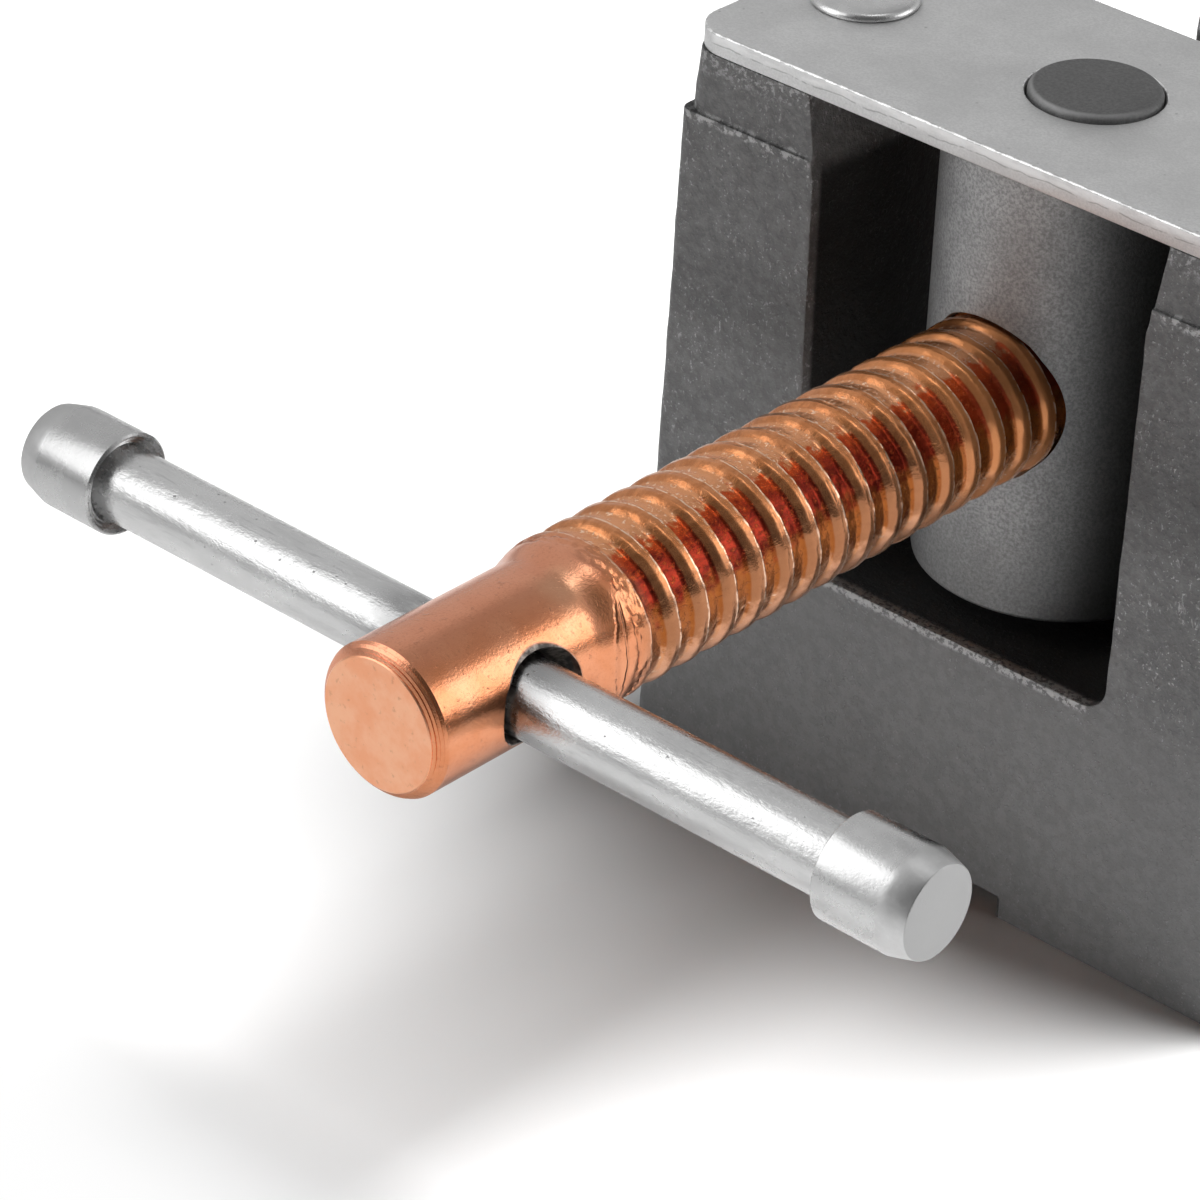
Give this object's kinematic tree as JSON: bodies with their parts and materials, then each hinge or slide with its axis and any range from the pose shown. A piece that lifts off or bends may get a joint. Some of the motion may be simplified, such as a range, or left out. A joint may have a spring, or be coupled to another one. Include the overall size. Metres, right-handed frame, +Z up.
{
  "type": "angle clamp",
  "caption": "Right-angle welding clamp: cast base with square fences, a swivelling jaw pushed by a copper-plated screw in a pivoting nut, and a sliding T-bar.",
  "frame": {"origin": "centre of the four bench bolt holes, on the bench plane", "axes": "+X to the right seen from the handle, +Y along the spindle from the handle to the corner of the fences, +Z up from the bench"},
  "size_m": [0.1554, 0.2999, 0.0928],
  "materials": {
    "body_paint": "satin dark grey paint over sand-cast iron",
    "zinc_plate": "matt zinc-plated steel sheet",
    "zinc_bright": "bright zinc-plated steel, lightly streaked",
    "dark_steel": "oiled dark steel with fine turning marks",
    "copper": "copper-plated steel with darker thread roots",
    "spring_steel": "plain spring steel"
  },
  "bodies": {
    "base": {"clamp_body": "body_paint", "nut_cover_plate": "zinc_plate", "nut_cover_screw_left": "zinc_bright", "nut_cover_screw_right": "zinc_bright"},
    "nut": {"nut_barrel": "dark_steel"},
    "carriage": {"swivel_barrel": "dark_steel", "thrust_washer": "spring_steel"},
    "spindle": {"spindle": "copper", "spindle_retaining_ring": "spring_steel"},
    "bar": {"tommy_bar": "zinc_bright", "tommy_bar_cap_left": "zinc_bright", "tommy_bar_cap_right": "zinc_bright"},
    "jaw": {"movable_jaw": "body_paint", "jaw_cover_plate": "zinc_plate", "jaw_cover_screw_left": "zinc_bright", "jaw_cover_screw_right": "zinc_bright"}
  },
  "joints": [
    {"name": "nut_swivel", "type": "hinge", "parent": "base", "child": "nut", "pos_m": [0, -0.103, 0.0595], "axis": [0, 0, 1], "range_deg": [-3, 3]},
    {"name": "spindle_travel", "type": "slide", "parent": "nut", "child": "carriage", "axis": [0, 1, 0], "range_m": [-0.004, 0.06]},
    {"name": "spindle_turn", "type": "hinge", "parent": "carriage", "child": "spindle", "pos_m": [0, -0.103, 0.0595], "axis": [0, 1, 0], "range_deg": [-360, 5400]},
    {"name": "bar_slide", "type": "slide", "parent": "spindle", "child": "bar", "axis": [1, 0, 0], "range_m": [-0.0376, 0.0404]},
    {"name": "jaw_swivel", "type": "hinge", "parent": "carriage", "child": "jaw", "pos_m": [0, -0.037, 0.0595], "axis": [0, 0, 1], "range_deg": [-5, 5]}
  ],
  "couplings": [
    {"joint": "spindle_turn", "follows": "spindle_travel", "rad_per_m": 1570.8}
  ]
}
